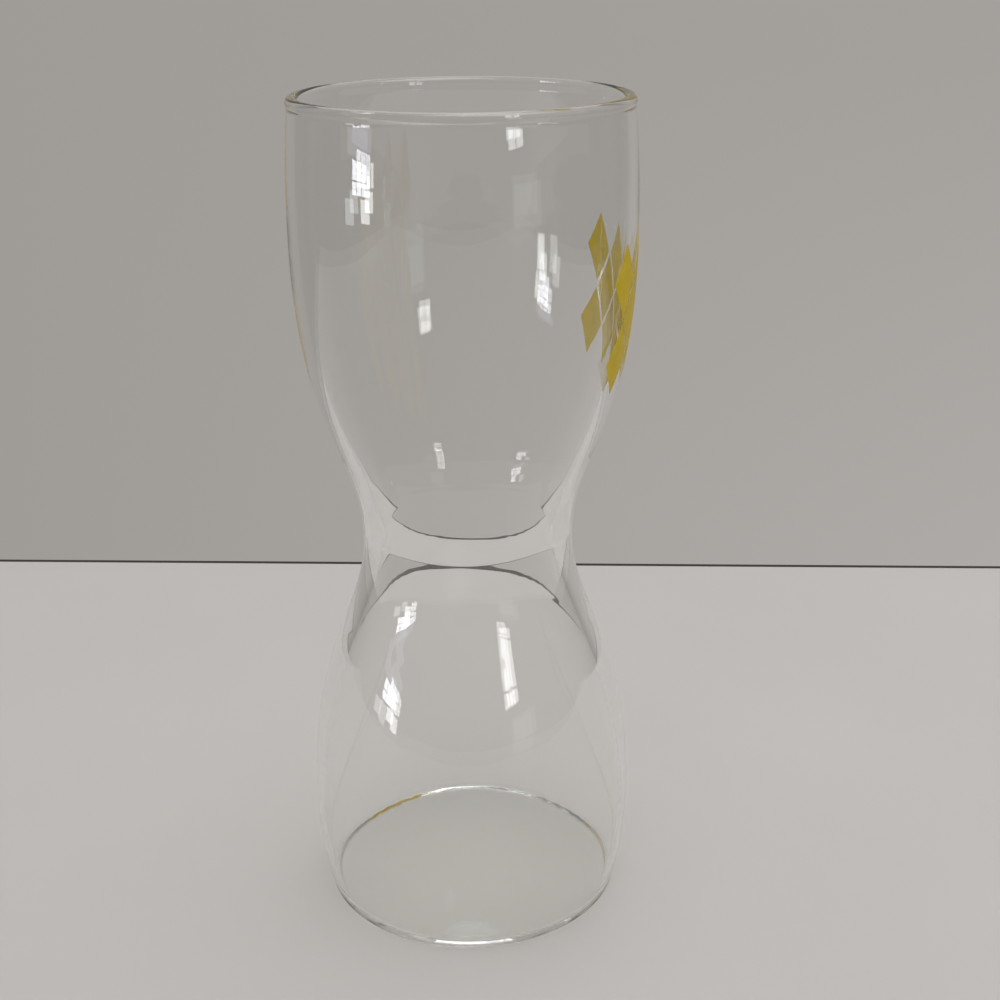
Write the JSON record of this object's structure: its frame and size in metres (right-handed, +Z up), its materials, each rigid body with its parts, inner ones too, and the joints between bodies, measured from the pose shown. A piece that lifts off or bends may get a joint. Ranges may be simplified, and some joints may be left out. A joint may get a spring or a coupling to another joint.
{
  "type": "hourglass tumbler",
  "caption": "Clear blown glass tumbler with a barrel-shaped bowl, a narrow open waist and a round bulb below it on a thin base, printed with yellow lozenges on one side.",
  "frame": {"origin": "middle of the base, on the table", "axes": "+Z up along the glass's axis, +X towards the middle of the printed panel, and the picture's camera looks roughly along +Y"},
  "size_m": [0.0752, 0.0752, 0.185],
  "materials": {
    "clear_glass": "blown and fire-polished, clear, with a faint green-grey tint",
    "yellow_enamel": "screen-printed and fired, satin"
  },
  "bodies": {
    "root": {"glass_body": "clear_glass", "lozenge_top_1": "yellow_enamel", "lozenge_top_2": "yellow_enamel", "lozenge_top_3": "yellow_enamel", "lozenge_top_4": "yellow_enamel", "lozenge_middle_1": "yellow_enamel", "lozenge_middle_2": "yellow_enamel", "lozenge_middle_3": "yellow_enamel", "lozenge_bottom_1": "yellow_enamel", "lozenge_bottom_2": "yellow_enamel", "lozenge_bottom_3": "yellow_enamel", "lozenge_bottom_4": "yellow_enamel"}
  },
  "joints": []
}
